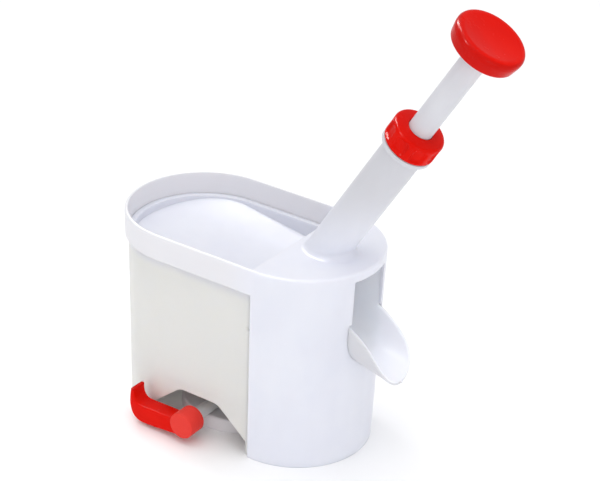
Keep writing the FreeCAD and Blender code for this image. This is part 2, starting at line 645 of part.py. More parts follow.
def make_cam_shaft():
    """Steel shaft with an eccentric that lifts the stem."""
    x, z = cam_centre()
    shaft = rod(SHAFT_RADIUS, V(SHAFT_X, LEVER_FRONT_Y + 3, SHAFT_Z), V(SHAFT_X, 15.5, SHAFT_Z))
    cam = rod(CAM_RADIUS, V(x, -5, z), V(x, 5, z))
    shaft = shaft.fuse(cam)
    return shaft.cut(lever_pin_shape(1.27))


def lever_pin_shape(radius):
    """Upright pin through the hub and the shaft."""
    y = (LEVER_FRONT_Y + LEVER_BACK_Y) / 2
    return rod(radius, V(SHAFT_X, y, SHAFT_Z - HUB_RADIUS + 1.2), V(SHAFT_X, y, SHAFT_Z + HUB_RADIUS - 2.4))


def make_lever_pin():
    """Steel pin that keeps the lever on its shaft."""
    return lever_pin_shape(1.25)


def make_suction_lever():
    """Red lever: a round hub, a deep arm and a thumb tab turned up at its end."""
    depth = V(0, LEVER_BACK_Y - LEVER_FRONT_Y, 0)
    y = LEVER_FRONT_Y
    points = [(SHAFT_X, SHAFT_Z - 8.4), (-35, 2.2), (-42, 2.5), (-46, 6.5), (TAB_X, 14), (-47.0, TAB_TOP_Z)]
    points += [(-44.4, TAB_TOP_Z), (-44.2, 18.6), (-42.6, 15.6), (-39.4, 14.4), (SHAFT_X, 15.2)]
    arm = Part.Face(Part.makePolygon([V(x, y, z) for x, z in points + points[:1]])).extrude(depth)
    long_edges = [e for e in arm.Edges if e.BoundBox.YLength > 10 and e.BoundBox.XMax < -33]
    soft = [e for e in long_edges if e.BoundBox.ZMax < TAB_TOP_Z - 1]
    arm = arm.makeFillet(1.2, soft)
    tips = [e for e in arm.Edges if e.BoundBox.YLength > 10 and e.BoundBox.ZMin > TAB_TOP_Z - 0.5]
    arm = arm.makeFillet(0.9, tips)
    hub = rod(HUB_RADIUS, V(SHAFT_X, y, SHAFT_Z), V(SHAFT_X, LEVER_BACK_Y, SHAFT_Z))
    hub = hub.makeFillet(0.7, [e for e in hub.Edges if e.BoundBox.YLength < 0.01])
    lever = arm.fuse(hub).removeSplitter()
    lever = lever.cut(rod(SHAFT_RADIUS + 0.02, V(SHAFT_X, y + 3 - 0.05, SHAFT_Z), V(SHAFT_X, 0, SHAFT_Z)))
    middle_y = (LEVER_FRONT_Y + LEVER_BACK_Y) / 2
    return lever.cut(rod(1.27, V(SHAFT_X, middle_y, 0), V(SHAFT_X, middle_y, SHAFT_Z + HUB_RADIUS - 2.35)))


def make_pocket_screws():
    """Screws that hold the pocket to the divider."""
    seat_x = POCKET_PLATE_X + 2
    screws = []
    for side in (-1, 1):
        y = side * POCKET_SCREW_Y
        screws.append(screw(V(SPLIT_X + 0.1, y, POCKET_SCREW_Z), V(seat_x, y, POCKET_SCREW_Z)))
    return screws


def make_tray_screws():
    """Screws that hold the hopper floor to the divider."""
    return [screw(*tray_screw_line(side)) for side in (-1, 1)]


def export(name, shape):
    """Writes one node, which may be several separate solids."""
    if isinstance(shape, list):
        shape = Part.makeCompound(shape)
    solids = shape.Solids
    if len(solids) == 1:
        shape = solids[0]
    volume = sum(s.Volume for s in solids)
    print(name, "solids", len(solids), "valid", shape.isValid(), "volume", round(volume, 1))
    shape.exportStep(os.path.join("parts", name + ".step"))


def main():
    """Builds every piece."""
    os.makedirs("parts", exist_ok=True)
    makers = {
        "main_housing": make_main_housing, "hopper_tray": make_hopper_tray, "tray_screws": make_tray_screws,
        "pocket_cup": make_pocket_cup, "pocket_screws": make_pocket_screws, "cherry_seat": make_cherry_seat,
        "seat_ring": make_seat_ring, "outlet_chute": make_outlet_chute, "stripper_ring": make_stripper_ring,
        "spring_washer": make_spring_washer, "return_spring": make_return_spring,
        "guide_bush": make_guide_bush, "barrel_nut": make_barrel_nut, "housing_base": make_housing_base,
        "base_screws": make_base_screws, "rubber_feet": make_rubber_feet,
        "plunger_rod": make_plunger_rod, "plunger_knob": make_plunger_knob,
        "spike_holder": make_spike_holder, "pitting_spike": make_pitting_spike,
        "stone_container": make_stone_container, "foot_plate": make_foot_plate,
        "foot_screws": make_foot_screws, "suction_cup": make_suction_cup, "cup_stem": make_cup_stem,
        "cam_shaft": make_cam_shaft, "lever_pin": make_lever_pin, "suction_lever": make_suction_lever,
    }
    for name, maker in makers.items():
        export(name, maker())
    export("spike_pin", spike_pin_shape(PIN_RADIUS, 2 * ROD_RADIUS - 0.3))


main()
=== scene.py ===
# %% [markdown]
# # A table-top cherry pitter
# The object is a kitchen tool: an oval white body with a hopper in its top, a plunger that
# leans out of the deck, a chute for the fruit, a frosted bin for the stones and a red lever
# that works a suction foot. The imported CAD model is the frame. It holds every size and every
# joint, and this lesson dresses it: light first, then the finishes, then the pieces whose
# moulded form needs a finer surface than the construction solid has.

# %% Load the frame
import json
import math
import bmesh
import bpy
import numpy as np
from mathutils import Matrix


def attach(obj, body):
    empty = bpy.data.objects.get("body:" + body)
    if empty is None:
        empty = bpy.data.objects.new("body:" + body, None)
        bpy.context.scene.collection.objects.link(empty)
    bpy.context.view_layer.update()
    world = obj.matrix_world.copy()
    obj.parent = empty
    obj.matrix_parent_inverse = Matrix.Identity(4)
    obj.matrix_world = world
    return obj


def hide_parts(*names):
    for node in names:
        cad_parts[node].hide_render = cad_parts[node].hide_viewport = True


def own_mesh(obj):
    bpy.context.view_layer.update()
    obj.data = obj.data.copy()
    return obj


MM = 0.001

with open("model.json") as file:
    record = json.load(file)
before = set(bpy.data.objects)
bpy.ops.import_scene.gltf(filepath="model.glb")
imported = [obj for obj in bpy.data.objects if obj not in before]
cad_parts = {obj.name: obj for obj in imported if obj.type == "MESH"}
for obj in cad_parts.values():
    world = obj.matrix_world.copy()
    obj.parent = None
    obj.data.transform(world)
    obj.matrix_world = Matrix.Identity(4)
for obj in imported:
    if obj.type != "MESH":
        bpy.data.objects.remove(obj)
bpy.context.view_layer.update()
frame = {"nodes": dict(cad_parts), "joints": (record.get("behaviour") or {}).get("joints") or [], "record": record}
nodes = frame["nodes"]

# %% [markdown]
# ## The camera
# The photograph was taken from the front right, a little above the rim. A long lens keeps the
# upright lines nearly parallel. The place and turn below were found by matching the oval rim,
# the base and the line of the plunger, so no shift is needed.

# %% Camera
CAMERA_PLACE = (0.55578, -0.79554, 0.62403)
CAMERA_RIGHT = (0.82346, 0.56584, 0.04159)
CAMERA_UP = (-0.29138, 0.35888, 0.88674)
LENS = 106.72
SENSOR_WIDTH = 36.0


def pose_matrix(right, up, back, place):
    """A matrix whose columns are three unit directions and a place."""
    matrix = np.eye(4)
    matrix[:3] = np.stack([right, up, back, place], axis=1)
    return Matrix(matrix.tolist())


def unit(vector):
    """The same direction with length one."""
    vector = np.array(vector, float)
    return vector / np.linalg.norm(vector)


def add_camera():
    """A camera that looks against its third direction, with the second one upwards."""
    right = unit(CAMERA_RIGHT)
    up = np.array(CAMERA_UP)
    up = unit(up - right * up.dot(right))
    data = bpy.data.cameras.new("camera")
    data.lens = LENS
    data.sensor_width = SENSOR_WIDTH
    camera = bpy.data.objects.new("camera", data)
    camera.matrix_world = pose_matrix(right, up, np.cross(right, up), CAMERA_PLACE)
    bpy.context.scene.collection.objects.link(camera)
    bpy.context.scene.camera = camera
    return camera


camera = add_camera()
print("camera at", CAMERA_PLACE)

# %% [markdown]
# ## Light
# The photograph has very soft light, with gentle shade on the sides that turn away. An even
# white sky gives most of it. A wide soft box overhead makes the deck the brightest face, and
# two low ones lift the front left and the lower right. The last two light only the gloss:
# they draw the streaks on the red knob and the nut, and leave the white body's shading alone.

# %% Light
MIDDLE = (0.02, 0.0, 0.12)
SOFT_BOXES = {
    # name: (place, width, height, watts, lights only the gloss)
    "left_box": ((-0.55, -1.1, 0.30), 0.6, 0.6, 1.25, False),
    "right_box": ((1.2, -0.75, 0.3), 0.5, 0.5, 2.4, False),
    "top_box": ((0.2, -0.1, 3.2), 3.6, 3.6, 50.0, False),
    "gloss_box_left": ((-0.62, 0.25, 1.18), 0.25, 1.10, 50.0, True),
    "gloss_box_front": ((-0.10, -0.72, 1.22), 0.14, 0.30, 13.0, True),
}
SKY_COLOUR = (0.985, 0.99, 1.0, 1.0)
SKY_STRENGTH = 0.74


def add_soft_box(name, place, width, height, watts, gloss_only):
    """A flat light of a given size, turned to the middle of the object."""
    data = bpy.data.lights.new(name, "AREA")
    data.shape = "RECTANGLE"
    data.size = width
    data.size_y = height
    data.energy = watts
    light = bpy.data.objects.new(name, data)
    back = unit(np.array(place) - MIDDLE)
    side = unit(np.cross((0.0, 0.0, 1.0), back))
    light.matrix_world = pose_matrix(side, np.cross(back, side), back, place)
    light.visible_diffuse = not gloss_only
    bpy.context.scene.collection.objects.link(light)
    return light


def add_sky():
    """An even sky of one colour."""
    world = bpy.data.worlds.new("studio")
    world.use_nodes = True
    sky = world.node_tree.nodes["Background"]
    sky.inputs["Color"].default_value = SKY_COLOUR
    sky.inputs["Strength"].default_value = SKY_STRENGTH
    bpy.context.scene.world = world


lights = [add_soft_box(name, *row) for name, row in SOFT_BOXES.items()]
add_sky()
bpy.context.scene.view_settings.view_transform = "Standard"
print("soft boxes", [light.name for light in lights])

# %% [markdown]
# ## The floor
# The pitter stands on plain white ground that fades into the background. A large pale square
# under it catches the soft contact shade, and throws light back up under the rim and the
# chute. It is part of the stage and not of the object.

# %% The floor
FLOOR_HALF_WIDTH = 12.0
FLOOR_COLOUR = (0.95, 0.95, 0.955, 1.0)
FLOOR_ROUGHNESS = 0.7


def add_floor():
    """A flat pale floor, level with the underside of the body."""
    w = FLOOR_HALF_WIDTH
    corners = [(-w, -w, 0.0), (w, -w, 0.0), (w, w, 0.0), (-w, w, 0.0)]
    mesh = bpy.data.meshes.new("floor")
    mesh.from_pydata(corners, [], [(0, 1, 2, 3)])
    floor = bpy.data.objects.new("floor", mesh)
    bpy.context.scene.collection.objects.link(floor)
    material = bpy.data.materials.new("floor_white")
    material.use_nodes = True
    shader = material.node_tree.nodes["Principled BSDF"]
    shader.inputs["Base Color"].default_value = FLOOR_COLOUR
    shader.inputs["Roughness"].default_value = FLOOR_ROUGHNESS
    mesh.materials.append(material)
    return floor


floor = add_floor()
print("floor", floor.dimensions[0], "m wide")

# %% [markdown]
# ## Short calls for material nodes
# A procedural material is a net of nodes that starts at the Object coordinates and ends at the
# shader. Writing each node by hand is long, so a small class gives one short call for each
# kind. Every value can be a constant or another node's output, and one method decides which.

# %% Node helpers


class Recipe:
    """A material being written: its shader, and short calls for the nodes that feed it."""

    def __init__(self, name):
        """Starts the material with its Object coordinates at hand."""
        self.material = bpy.data.materials.new(name)
        self.material.use_nodes = True
        self.tree = self.material.node_tree
        self.shader = self.tree.nodes["Principled BSDF"]
        self.place = self.add("ShaderNodeTexCoord").outputs["Object"]

    def feed(self, socket, value):
        """Links another node's output to a socket, or fills the socket with a constant."""
        if isinstance(value, bpy.types.NodeSocket):
            self.tree.links.new(value, socket)
        else:
            socket.default_value = value

    def add(self, kind, inputs=(), **settings):
        """A node with its settings made and its inputs fed, by name or by number."""
        node = self.tree.nodes.new(kind)
        for key, value in settings.items():
            setattr(node, key, value)
        for key, value in dict(inputs).items():
            self.feed(node.inputs[key], value)
        return node

    def set(self, **values):
        """Feeds the shader's own sockets; an underscore stands for a space."""
        for key, value in values.items():
            self.feed(self.shader.inputs[key.replace("_", " ")], value)

    def axes(self):
        """The Object coordinates as three outputs: x, y and z."""
        return self.add("ShaderNodeSeparateXYZ", {"Vector": self.place}).outputs

    def noise(self, scale, detail=3.0, stretch=(1.0, 1.0, 1.0), turn=(0.0, 0.0, 0.0)):
        """Noise from 0 to 1 with features of about 1 / scale metres, stretched if asked."""
        mapping = self.add("ShaderNodeMapping",
                           {"Vector": self.place, "Scale": stretch, "Rotation": turn})
        pattern = self.add("ShaderNodeTexNoise",
                           {"Vector": mapping.outputs[0], "Scale": scale, "Detail": detail})
        return pattern.outputs["Fac"]

    def cells(self, scale):
        """A pattern of small cells, each about 1 / scale metres wide."""
        return self.add("ShaderNodeTexVoronoi", {"Vector": self.place, "Scale": scale}).outputs

    def ramp(self, value, low, high, to_low=0.0, to_high=1.0):
        """The value moved from one range to another, smoothly and without overshoot."""
        limits = {"Value": value, "From Min": low, "From Max": high,
                  "To Min": to_low, "To Max": to_high}
        return self.add("ShaderNodeMapRange", limits,
                        interpolation_type="SMOOTHSTEP").outputs["Result"]

    def maths(self, operation, a, b=0.0):
        """One value, or two values joined, by one operation."""
        return self.add("ShaderNodeMath", {0: a, 1: b}, operation=operation).outputs[0]

    def vector(self, operation, a, b=(0.0, 0.0, 0.0)):
        """The outputs of one vector operation."""
        return self.add("ShaderNodeVectorMath", {0: a, 1: b}, operation=operation).outputs

    def mix(self, share, first, second):
        """A colour between two others, each a constant of three numbers or an output."""
        colours = [(*c, 1.0) if isinstance(c, tuple) else c for c in (first, second)]
        inputs = {0: share, 6: colours[0], 7: colours[1]}
        return self.add("ShaderNodeMix", inputs, data_type="RGBA").outputs[2]

    def grain(self, heights, distance, edge_radius):
        """Bump from a height pattern, on edges that look rounded to a radius."""
        edge = self.add("ShaderNodeBevel", {"Radius": edge_radius}, samples=6)
        bump = self.add("ShaderNodeBump", {"Height": heights, "Distance": distance,
                                           "Strength": 1.0, "Normal": edge.outputs[0]})
        self.set(Normal=bump.outputs[0])


print("recipe ready")

# %% [markdown]
# ## Moulded plastic
# Injection-moulded plastic is never one flat colour. The pigment drifts a little over a few
# centimetres, the mould leaves a fine grain that breaks up the gloss, and handling dulls some
# patches more than others. One recipe serves white, red and grey: two close colours mixed by
# a slow noise, a roughness that wanders, a fine grain as bump, and edges that look rounded
# because the Bevel node bends the light there. All patterns read Object coordinates.

# %% Moulded plastic
PIGMENT_SCALE = 22.0
FLOW_SCALE = 60.0
FLOW_STRETCH = (1.0, 1.0, 0.25)
SCUFF_SCALE = 260.0
SCUFF_STRETCH = (1.0, 1.0, 0.15)
SCUFF_TURN = (0.5, 0.3, 0.0)
HAZE_SCALE = 45.0
HAZE = 0.04
GRAIN_SCALE = 2600.0
WAVE_SCALE = 90.0
PLASTIC_IOR = 1.49
INNER_LIGHT_REACH = 0.004
INNER_LIGHT_TINT = (1.0, 0.9, 0.85)


def moulded_plastic(name, light_tone, dark_tone, rough, edge_radius, inner_light, gloss, grain):
    """Pigment drift, scuffed gloss, fine mould grain and soft edges on one shader."""
    recipe = Recipe(name)
    drift = recipe.ramp(recipe.noise(PIGMENT_SCALE), 0.35, 0.65)
    flow = recipe.ramp(recipe.noise(FLOW_SCALE, 4.0, FLOW_STRETCH), 0.35, 0.7, 0.0, 0.35)
    pigment = recipe.maths("ADD", recipe.maths("MULTIPLY", drift, 0.65), flow)
    recipe.tone = recipe.mix(pigment, light_tone, dark_tone)
    scuffs = recipe.noise(SCUFF_SCALE, 5.0, SCUFF_STRETCH, SCUFF_TURN)
    scuffs = recipe.ramp(scuffs, 0.52, 0.72, 0.0, 0.10)
    haze = recipe.ramp(recipe.noise(HAZE_SCALE), 0.3, 0.7, rough - HAZE, rough + HAZE)
    fine = recipe.maths("MULTIPLY", recipe.noise(GRAIN_SCALE, 2.0), 0.35)
    wave = recipe.noise(WAVE_SCALE, 2.0)
    recipe.grain(recipe.maths("ADD", fine, wave), grain, edge_radius)
    recipe.set(Base_Color=recipe.tone, Roughness=recipe.maths("ADD", haze, scuffs),
               IOR=PLASTIC_IOR, Specular_IOR_Level=gloss, Subsurface_Weight=inner_light,
               Subsurface_Scale=INNER_LIGHT_REACH, Subsurface_Radius=INNER_LIGHT_TINT)
    return recipe


print("moulded plastic ready")

# %% [markdown]
# ## The plastics of the pitter
# The body is a cool white. The rod is painted a little greyer, a painted shade, and the chute a
# little lighter and bluer, a painted light. The reds have almost no sheen apart from the sharp
# streaks. The hub of the lever is duller, and painted lighter as a painted light, and the foot
# in the shade of the arch is painted grey, a painted shade.

# %% The plastics of the pitter
WHITE_GLOSS = 0.16
RED_GLOSS = 0.055
FOOT_GLOSS = 0.5
SOFT_GRAIN = 0.00004
FINE_GRAIN = 0.000015
PLASTICS = {
    # name: (light tone, dark tone, roughness, edge radius, inner light, gloss, grain)
    "white_plastic": ((0.775, 0.785, 0.855), (0.735, 0.745, 0.825),
                      0.36, 0.0005, 0.45, WHITE_GLOSS, SOFT_GRAIN),
    # The rod's row: a greyer copy of the white, a painted shade.
    "plunger_shaded_white": ((0.67, 0.675, 0.71), (0.62, 0.625, 0.665),
                      0.34, 0.0004, 0.3, WHITE_GLOSS, SOFT_GRAIN),
    # The chute's row: a lighter, bluer copy of the white, a painted light for light bouncing in its thin walls.
    "chute_lit_white": ((0.86, 0.875, 0.955), (0.83, 0.845, 0.935),
                    0.32, 0.0008, 0.6, WHITE_GLOSS, SOFT_GRAIN),
    "red_plastic": ((0.72, 0.007, 0.002), (0.63, 0.005, 0.002),
                    0.20, 0.0003, 0.0, RED_GLOSS, FINE_GRAIN),
    # The hub's row: a lighter copy of the red, a painted light; its higher roughness makes it duller.
    "hub_lit_red": ((0.78, 0.055, 0.042), (0.70, 0.040, 0.032),
                0.42, 0.0004, 0.0, RED_GLOSS, SOFT_GRAIN),
    # The foot's row: a grey painted as the shade inside the arch.
    "foot_shade_grey": ((0.80, 0.78, 0.80), (0.74, 0.72, 0.74),
                  0.50, 0.0005, 0.2, FOOT_GLOSS, SOFT_GRAIN),
}
plastics = {name: moulded_plastic(name, *row) for name, row in PLASTICS.items()}
print("plastics", list(plastics))

# %% [markdown]
# ## The housing's white and its painted shade
# The housing is one moulding in one white, with painted shade laid on two of its parts. The
# barrel is painted greyer than the walls, a painted shade that deepens up the barrel. The band
# round the hopper is painted greyer and less blue, a painted shade on the band. The same recipe
# is used, and its colour slides to these shade tones by height and by the distance from the deck.

# %% The housing's white and its painted shade
# Painted shade: the barrel's greyer tone, laid on more strongly higher up the barrel.
BARREL_SHADE_COLOUR = (0.60, 0.60, 0.635)
BARREL_SHADE_FADE_Z = (0.134, 0.19)
# Painted shade: the band's greyer, less blue tone.
BAND_SHADE_COLOUR = (0.745, 0.743, 0.772)
BAND_SHADE_FADE_Z = (0.110, 0.116)
BAND_SHADE_FADE_X = (0.012, 0.044)

housing_shaded_white = moulded_plastic("housing_shaded_white", *PLASTICS["white_plastic"])
axes = housing_shaded_white.axes()
# Painted shade up the barrel, by height.
barrel_shade_mask = housing_shaded_white.ramp(axes["Z"], *BARREL_SHADE_FADE_Z)
above_bin = housing_shaded_white.ramp(axes["Z"], *BAND_SHADE_FADE_Z)
beside_deck = housing_shaded_white.ramp(axes["X"], *BAND_SHADE_FADE_X, 1.0, 0.0)
# Painted shade on the band: above the bin and away from the deck.
band_shade_mask = housing_shaded_white.maths("MULTIPLY", above_bin, beside_deck)
wall_and_band_shade = housing_shaded_white.mix(band_shade_mask, housing_shaded_white.tone, BAND_SHADE_COLOUR)
housing_shaded_white.set(Base_Color=housing_shaded_white.mix(barrel_shade_mask, wall_and_band_shade, BARREL_SHADE_COLOUR))
print("housing finish", housing_shaded_white.material.name)

# %% [markdown]
# ## The chute's tones
# Inside the passage the plastic is painted paler and bluer, a painted light that stands in for
# light bouncing from wall to wall. The outside of the scoop is painted greyer than its trough, a
# painted shade. The distance from the middle line of the trough tells outside from inside,
# because its wall is an even two millimetres. That line falls steadily, so its height above a
# sloping level is zero everywhere on it.

# %% The chute's tones
CHUTE_SLOPE = math.tan(math.radians(16.0))
CHUTE_AXIS_X = 84.0
CHUTE_AXIS_Z = 86.0
TROUGH_LEVEL = MM * (CHUTE_AXIS_Z + CHUTE_AXIS_X * CHUTE_SLOPE)
# Painted light: the paler, bluer tone inside the passage.
PASSAGE_LIGHT_COLOUR = (0.93, 0.945, 1.0)
PASSAGE_LIGHT_FADE_X = (0.074, 0.092)
# Painted shade: the greyer tone on the outside of the scoop.
OUTER_SHADE_COLOUR = (0.615, 0.62, 0.65)
OUTER_SHADE_FADE = (0.0168, 0.0177)

chute_lit_white = plastics["chute_lit_white"]
axes = chute_lit_white.axes()
# Painted light inside the passage, by distance along x.
passage_light_mask = chute_lit_white.ramp(axes["X"], *PASSAGE_LIGHT_FADE_X, 1.0, 0.0)
inner_and_passage_light = chute_lit_white.mix(passage_light_mask, chute_lit_white.tone, PASSAGE_LIGHT_COLOUR)
fall = chute_lit_white.maths("MULTIPLY", axes["X"], CHUTE_SLOPE)
height = chute_lit_white.maths("SUBTRACT", chute_lit_white.maths("ADD", axes["Z"], fall), TROUGH_LEVEL)
below = chute_lit_white.maths("MINIMUM", height, 0.0)
aside_square = chute_lit_white.maths("MULTIPLY", axes["Y"], axes["Y"])
below_square = chute_lit_white.maths("MULTIPLY", below, below)
distance = chute_lit_white.maths("SQRT", chute_lit_white.maths("ADD", aside_square, below_square))
# Painted shade on the outside of the scoop, away from the trough's middle line.
outer_shade_mask = chute_lit_white.ramp(distance, *OUTER_SHADE_FADE)
chute_lit_white.set(Base_Color=chute_lit_white.mix(outer_shade_mask, inner_and_passage_light, OUTER_SHADE_COLOUR))
print("chute finish", chute_lit_white.material.name)

# %% [markdown]
# ## Frosted plastic
# The stone bin is natural, undyed plastic with a frosted skin. It looks warm beside the bluish
# white housing, because light sinks into it and comes back out a little yellow. Right under
# the band a cooler, greyer tone is painted on: a painted shade under the band, with the white
# hopper's show-through painted in. The end wall beside the housing is painted greyer, a
# painted shade. The frost itself is a very fine grain with a blurred gloss.

# %% Frosted plastic
BAND_BOTTOM_Z = 0.115
END_WALL_X = 0.0341
WARM_TONES = ((0.97, 0.962, 0.925), (0.945, 0.935, 0.895))
# Painted shade: the cooler tone under the band, with the hopper's show-through painted in.
BIN_UNDER_BAND_SHADE = (0.88, 0.88, 0.915)
# Painted shade: the greyer tone at the end wall.
BIN_END_WALL_SHADE = (0.76, 0.76, 0.76)
FADE_WANDER = 0.006
FROST_SCALE = 2200.0


def frosted_plastic():
    """Warm base, with painted shade under the band and at the end wall, and a fine frost."""
    recipe = Recipe("frosted_plastic")
    axes = recipe.axes()
    warm = recipe.mix(recipe.ramp(recipe.noise(18.0), 0.3, 0.7), *WARM_TONES)
    wander = recipe.maths("SUBTRACT", recipe.noise(14.0), 0.5)
    z = recipe.maths("ADD", axes["Z"], recipe.maths("MULTIPLY", wander, FADE_WANDER))
    # Painted shade under the band, with a wandering edge.
    bin_shade_under_band = recipe.ramp(z, BAND_BOTTOM_Z - 0.009, BAND_BOTTOM_Z - 0.001)
    # Painted shade towards the end wall.
    bin_shade_at_end = recipe.ramp(axes["X"], END_WALL_X - 0.0035, END_WALL_X - 0.0005)
    tone = recipe.mix(bin_shade_at_end, recipe.mix(bin_shade_under_band, warm, BIN_UNDER_BAND_SHADE), BIN_END_WALL_SHADE)
    haze = recipe.ramp(recipe.noise(70.0, 4.0), 0.3, 0.7, 0.42, 0.54)
    frost = recipe.maths("MULTIPLY", recipe.cells(FROST_SCALE)["Distance"], 0.5)
    ripple = recipe.noise(55.0, 2.0)
    recipe.grain(recipe.maths("ADD", frost, ripple), 0.00005, 0.0004)
    recipe.set(Base_Color=tone, Roughness=haze, IOR=1.5, Transmission_Weight=0.35,
               Subsurface_Weight=0.35, Subsurface_Scale=0.004,
               Subsurface_Radius=(1.0, 0.92, 0.78))
    return recipe


frosted = frosted_plastic()
print("frosted finish", frosted.material.name)

# %% [markdown]
# ## Rubber and metal
# The rubber parts are dull, with a powdery bloom that gathers in patches. The steel parts are
# turned or drawn wire, so their marks run along one direction. Stretching a noise by a large
# factor along an axis gives that brushing, and its gloss changes with it. Zinc plating grows
# in small spangles, which cells of two close greys imitate.

# %% Rubber and metal


def soft_rubber():
    """Grey rubber: bloom as a lighter dust over a darker body, and a dull uneven gloss."""
    recipe = Recipe("soft_rubber")
    bloom = recipe.ramp(recipe.noise(120.0, 5.0), 0.45, 0.75)
    recipe.set(Base_Color=recipe.mix(bloom, (0.34, 0.345, 0.36), (0.46, 0.465, 0.475)))
    recipe.set(Roughness=recipe.ramp(recipe.noise(200.0), 0.3, 0.7, 0.62, 0.80), IOR=1.5)
    recipe.grain(recipe.noise(1500.0, 3.0), 0.00005, 0.0004)
    return recipe


def brushed_steel():
    """Bare metal with marks round the part and a gloss that follows them."""
    recipe = Recipe("brushed_steel")
    marks = recipe.noise(900.0, 4.0, (1.0, 1.0, 0.04))
    recipe.set(Base_Color=recipe.mix(marks, (0.60, 0.60, 0.61), (0.74, 0.74, 0.745)))
    recipe.set(Roughness=recipe.ramp(marks, 0.3, 0.7, 0.20, 0.36), Metallic=1.0)
    recipe.grain(marks, 0.00002, 0.0003)
    return recipe


def dull_zinc():
    """Plated parts: spangles of two greys, each with its own gloss, on a half metal shader."""
    recipe = Recipe("dull_zinc")
    cells = recipe.cells(1800.0)["Color"]
    spangle = recipe.add("ShaderNodeSeparateColor", {"Color": cells}).outputs["Red"]
    recipe.set(Base_Color=recipe.mix(spangle, (0.66, 0.655, 0.66), (0.71, 0.705, 0.71)))
    recipe.set(Roughness=recipe.ramp(spangle, 0.0, 1.0, 0.45, 0.60), Metallic=0.3)
    recipe.grain(recipe.noise(1200.0), 0.00003, 0.0003)
    return recipe


rubber = soft_rubber()
steel = brushed_steel()
zinc = dull_zinc()
print("finishes", [recipe.material.name for recipe in (rubber, steel, zinc)])

# %% [markdown]
# ## Dress the CAD nodes
# A node whose solid is already right keeps its mesh and only gets a finish. The record names
# a finish for each node, so the list below is read from there. A few nodes get their own: the
# round foot in the shade of the arch, the stem in its middle and the heads of its screws are
# painted grey, a painted shade, the housing has its own white with painted shade on the barrel
# and the band, and the cam shaft and the screws underneath are zinc plated.

# %% Dress the CAD nodes
FINISH_OF_SLOT = {
    "white_plastic": plastics["white_plastic"],
    "red_plastic": plastics["red_plastic"],
    "frosted_plastic": frosted,
    "soft_rubber": rubber,
    "steel": steel,
}
OWN_FINISH = {
    # Painted shade: the foot, its stem and its screws are painted grey.
    "foot_plate": plastics["foot_shade_grey"],
    "cup_stem": plastics["foot_shade_grey"],
    "foot_screws": plastics["foot_shade_grey"],
    "main_housing": housing_shaded_white,
    "base_screws": zinc,
    "cam_shaft": zinc,
}


def dress(obj, recipe):
    """One finish on the whole object."""
    if not obj.data.materials:
        obj.data.materials.append(recipe.material)
    for place in obj.material_slots:
        place.material = recipe.material


for row in frame["record"]["subparts"]:
    name = row["node"]
    dress(nodes[name], OWN_FINISH.get(name, FINISH_OF_SLOT[row["material_slot"]]))

# %% [markdown]
# ## Surfaces from arrays
# Every new piece is a grid of points worked out with numpy. A grid has rows and columns, and
# a face joins four neighbours; a direction that closes on itself also joins its last line to
# its first. Points that fall together at a pole are merged, and if the enclosed volume comes
# out negative the faces are turned over, so that they always point outwards.

# %% Surfaces from arrays
MERGE_DISTANCE = 2e-6


def grid_faces(rows, columns, close_rows, close_columns):
    """Corner numbers of the face between each grid point and its next neighbours."""
    i = np.arange(rows if close_rows else rows - 1)[:, None]
    j = np.arange(columns if close_columns else columns - 1)[None, :]
    after_i = (i + 1) % rows
    after_j = (j + 1) % columns
    corners = [i * columns + j, after_i * columns + j,
               after_i * columns + after_j, i * columns + after_j]
    return np.stack(corners, axis=-1).reshape(-1, 4)


def put_piece(name, points, close_rows, close_columns, recipe, sharp_degrees=38.0):
    """One closed object from a grid of points, smooth but for edges sharper than an angle."""
    faces = grid_faces(*points.shape[:2], close_rows, close_columns)
    mesh = bpy.data.meshes.new(name)
    mesh.from_pydata(points.reshape(-1, 3).tolist(), [], faces.tolist())
    work = bmesh.new()
    work.from_mesh(mesh)
    bmesh.ops.remove_doubles(work, verts=work.verts, dist=MERGE_DISTANCE)
    if work.calc_volume(signed=True) < 0.0:
        bmesh.ops.reverse_faces(work, faces=work.faces)
    work.to_mesh(mesh)
    work.free()
    mesh.polygons.foreach_set("use_smooth", np.ones(len(mesh.polygons), bool))
    mesh.set_sharp_from_angle(angle=math.radians(sharp_degrees))
    piece = bpy.data.objects.new(name, mesh)
    bpy.context.scene.collection.objects.link(piece)
    dress(piece, recipe)
    print(name, "faces", len(mesh.polygons))
    return piece


def settle(piece, body, slot, *replaced):
    """Joins a finished piece to its body and hides the CAD parts it stands for."""
    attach(piece, body)
    if replaced:
        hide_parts(*replaced)


# %% [markdown]
# ## Round pieces
# Most pieces of this tool are turned round a line: the knob, the nut, the rod, the cup and the
# hub. Such a piece is a profile of radius and distance along its line, swept round it. Real
# moulded corners are never sharp, so the profile's corners become small arcs first.

# %% Round pieces
STRAIGHT = 1.56
X, Y, Z = np.eye(3)


def rounded(rows, steps=5):
    """An outline of rows (radius, distance, rounding). Each inner corner becomes an arc that
    touches both of its sides: the arc starts and ends at rounding / tan(half the corner's
    angle) from the corner, and its points lie one rounding away from its centre."""
    corners, roundings = np.split(np.array(rows, float), [2], axis=1)
    pieces = [corners[:1]]
    for before, corner, after, (radius,) in zip(corners, corners[1:], corners[2:], roundings[1:]):
        back, ahead = unit(before - corner), unit(after - corner)
        half = math.acos(np.clip(back.dot(ahead), -1.0, 1.0)) / 2.0
        if radius <= 0.0 or half > STRAIGHT:
            pieces.append(corner[None])
            continue
        centre = corner + unit(back + ahead) * radius / math.sin(half)
        start = corner + back * radius / math.tan(half) - centre
        end = corner + ahead * radius / math.tan(half) - centre
        share = np.linspace(0.0, 1.0, steps + 1)[:, None]
        chord = start * (1.0 - share) + end * share
        pieces.append(centre + chord * radius / np.linalg.norm(chord, axis=1, keepdims=True))
    pieces.append(corners[-1:])
    return np.concatenate(pieces)


